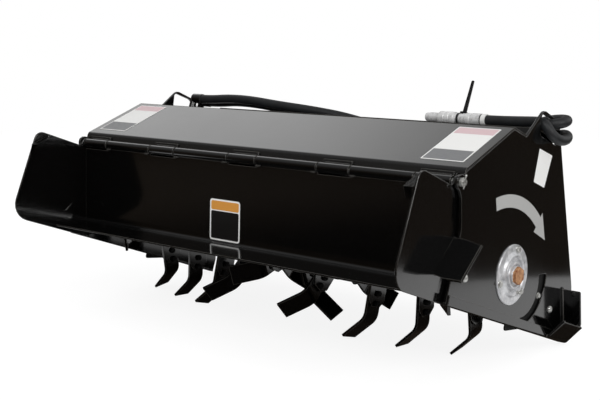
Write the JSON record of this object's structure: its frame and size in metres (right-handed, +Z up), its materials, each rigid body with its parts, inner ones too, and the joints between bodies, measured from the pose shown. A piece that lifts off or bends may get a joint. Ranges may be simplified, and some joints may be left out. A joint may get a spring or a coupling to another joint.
{
  "type": "rotavator",
  "caption": "Skid-steer rotary tiller: a tined rotor under a bent steel hood with a hinged door, skid shoes, side drive case and a loader coupler plate.",
  "frame": {"origin": "centre of the footprint, on the floor it parks on", "axes": "+X along the rotor towards the bearing end, -Y towards the hinged door, +Y towards the loader coupler, +Z up, as it parks"},
  "size_m": [1.6, 0.9704, 0.7633],
  "materials": {
    "black_paint": "gloss black enamel over steel plate",
    "galvanised": "dull galvanised casting",
    "zinc_steel": "zinc plated",
    "bright_steel": "turned steel",
    "hose_rubber": "matt black hydraulic hose",
    "rusty_steel": "light orange rust"
  },
  "bodies": {
    "frame": {"end_plate_right": "black_paint", "end_plate_left": "black_paint", "hood_panel": "black_paint", "trough_deck": "black_paint", "motor_tray": "black_paint", "main_beam": "black_paint", "rear_wall": "black_paint", "coupler_plate": "black_paint", "coupler_ledge": "black_paint", "coupler_ribs": "black_paint", "hinge_knuckles": "black_paint", "hinge_rod": "zinc_steel", "skid_shoe_right": "black_paint", "skid_shoe_left": "black_paint", "bearing_right": "galvanised", "bearing_left": "galvanised", "chain_case": "black_paint", "drive_motor": "black_paint", "fitting_supply": "zinc_steel", "fitting_return": "zinc_steel", "quick_coupler_supply": "bright_steel", "quick_coupler_return": "bright_steel", "hose_supply": "hose_rubber", "hose_return": "hose_rubber", "hose_tie": "hose_rubber"},
    "rotor": {"rotor_tube": "black_paint", "rotor_shafts": "bright_steel", "shaft_bolt": "rusty_steel", "rotor_flanges": "black_paint", "tines_drive_side": "black_paint", "tines_bearing_side": "black_paint"},
    "door": {"door_panel": "black_paint", "door_knuckles": "black_paint", "door_wing_right": "black_paint", "door_wing_left": "black_paint", "door_stop_right": "black_paint", "door_stop_left": "black_paint"}
  },
  "joints": [
    {"name": "rotor_spin", "type": "hinge", "parent": "frame", "child": "rotor", "pos_m": [0, 0.05372, 0.262], "axis": [1, 0, 0], "continuous": true},
    {"name": "door_hinge", "type": "hinge", "parent": "frame", "child": "door", "pos_m": [0, -0.21391, 0.542], "axis": [-1, 0, 0], "range_deg": [0, 75]}
  ]
}
